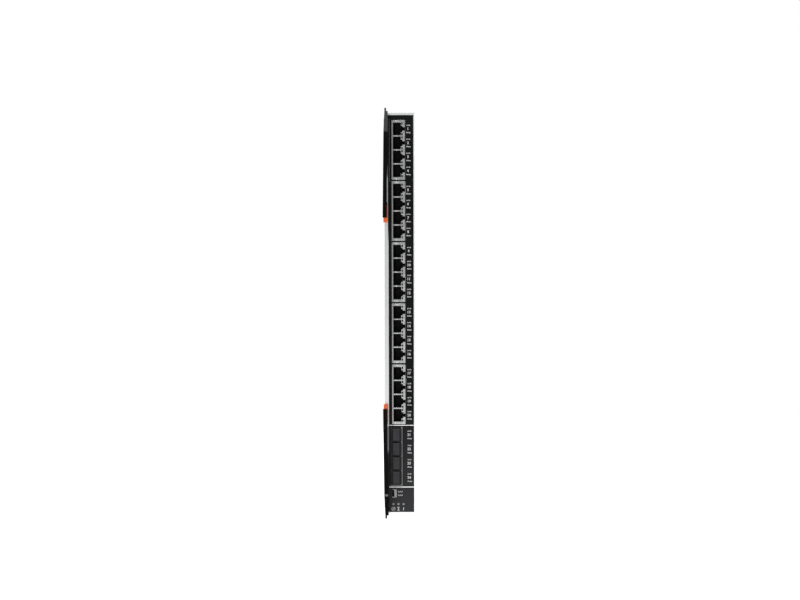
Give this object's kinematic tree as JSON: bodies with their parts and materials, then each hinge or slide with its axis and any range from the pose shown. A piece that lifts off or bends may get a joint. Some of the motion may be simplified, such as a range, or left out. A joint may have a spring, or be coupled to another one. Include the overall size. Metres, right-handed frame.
{
  "type": "blade ethernet switch",
  "caption": "Slim upright network switch module for a blade chassis, with ganged jacks, a transceiver cage, perforated end walls and two ejector levers with latches.",
  "frame": {"origin": "middle of the lower end wall's outer face, on which the module slides in its bay", "axes": "+Z along the module's length, upward as it stands in its bay; -Y out of the face with the ports; +X to the right as seen from in front of the ports"},
  "size_m": [0.032, 0.3275, 0.4102],
  "materials": {
    "tray_steel": "satin zinc plated sheet",
    "cover_steel": "satin zinc plated sheet",
    "bezel_steel": "satin plated sheet, bright at its edges",
    "overlay": "fine matt printed film",
    "gasket_foam": "metallised cloth over foam",
    "screw_steel": "zinc plated",
    "standoff_steel": "turned and plated",
    "lever_plastic": "moulded, fine grain",
    "latch_plastic": "moulded, satin",
    "spring_steel": "bright strip",
    "pin_steel": "blackened",
    "bracket_steel": "satin zinc plated sheet",
    "jack_plating": "bright tin plating with soft scratches",
    "jack_plastic": "moulded",
    "contact_gold": "gold flash",
    "lamp_plastic": "dark translucent lens",
    "cage_steel": "plated, darker at its rim",
    "connector_plastic": "moulded, glass filled",
    "plug_rubber": "satin rubber",
    "serial_plating": "bright plating",
    "tongue_plating": "bright plating",
    "light_pipe": "clear moulding, unlit",
    "board_laminate": "green solder mask",
    "chip_epoxy": "moulded epoxy",
    "sink_aluminium": "extruded, plain",
    "converter_case": "dark anodised case",
    "inductor_core": "pressed powder",
    "guide_zinc": "die cast"
  },
  "bodies": {
    "chassis": {"base_tray": "tray_steel", "cover_panel": "cover_steel", "front_plate": "bezel_steel", "face_label": "overlay", "emi_gasket": "gasket_foam", "cover_screws": "screw_steel", "board_screws": "screw_steel", "board_standoffs": "standoff_steel", "lower_pivot_pin": "pin_steel", "upper_pivot_pin": "pin_steel", "lower_lever_bracket": "bracket_steel", "upper_lever_bracket": "bracket_steel", "jack_shield_1": "jack_plating", "jack_shield_2": "jack_plating", "jack_shield_3": "jack_plating", "jack_shield_4": "jack_plating", "jack_shield_5": "jack_plating", "jack_body_1": "jack_plastic", "jack_body_2": "jack_plastic", "jack_body_3": "jack_plastic", "jack_body_4": "jack_plastic", "jack_body_5": "jack_plastic", "jack_contacts_1": "contact_gold", "jack_contacts_2": "contact_gold", "jack_contacts_3": "contact_gold", "jack_contacts_4": "contact_gold", "jack_contacts_5": "contact_gold", "jack_lamps_1": "lamp_plastic", "jack_lamps_2": "lamp_plastic", "jack_lamps_3": "lamp_plastic", "jack_lamps_4": "lamp_plastic", "jack_lamps_5": "lamp_plastic", "sfp_cage": "cage_steel", "sfp_connectors": "connector_plastic", "midplane_connectors": "connector_plastic", "power_connector": "connector_plastic", "memory_socket": "connector_plastic", "dust_plug_1": "plug_rubber", "dust_plug_2": "plug_rubber", "dust_plug_3": "plug_rubber", "dust_plug_4": "plug_rubber", "usb_shell": "serial_plating", "usb_tongue": "tongue_plating", "status_light_pipes": "light_pipe", "main_board": "board_laminate", "memory_module": "board_laminate", "switch_chip": "chip_epoxy", "processor_chip": "chip_epoxy", "phy_chips": "chip_epoxy", "switch_heat_sink": "sink_aluminium", "processor_heat_sink": "sink_aluminium", "power_converter": "converter_case", "power_inductors": "inductor_core", "guide_sockets": "guide_zinc"},
    "lower_lever": {"lower_lever": "lever_plastic", "lower_latch_spring": "spring_steel"},
    "upper_lever": {"upper_lever": "lever_plastic", "upper_latch_spring": "spring_steel"},
    "lower_latch": {"lower_latch": "latch_plastic"},
    "upper_latch": {"upper_latch": "latch_plastic"}
  },
  "joints": [
    {"name": "lower_lever_swing", "type": "hinge", "parent": "chassis", "child": "lower_lever", "pos_m": [-0.0132, -0.1555, 0.009], "axis": [1, 0, 0], "range_deg": [0, 90]},
    {"name": "upper_lever_swing", "type": "hinge", "parent": "chassis", "child": "upper_lever", "pos_m": [-0.0132, -0.1555, 0.392], "axis": [-1, 0, 0], "range_deg": [0, 90]},
    {"name": "lower_latch_slide", "type": "slide", "parent": "lower_lever", "child": "lower_latch", "axis": [0, 0, -1], "range_m": [0, 0.0025], "stiffness_N_per_m": 350, "springref_m": -0.002, "deforming": ["lower_latch_spring"]},
    {"name": "upper_latch_slide", "type": "slide", "parent": "upper_lever", "child": "upper_latch", "axis": [0, 0, 1], "range_m": [0, 0.0025], "stiffness_N_per_m": 350, "springref_m": -0.002, "deforming": ["upper_latch_spring"]}
  ]
}
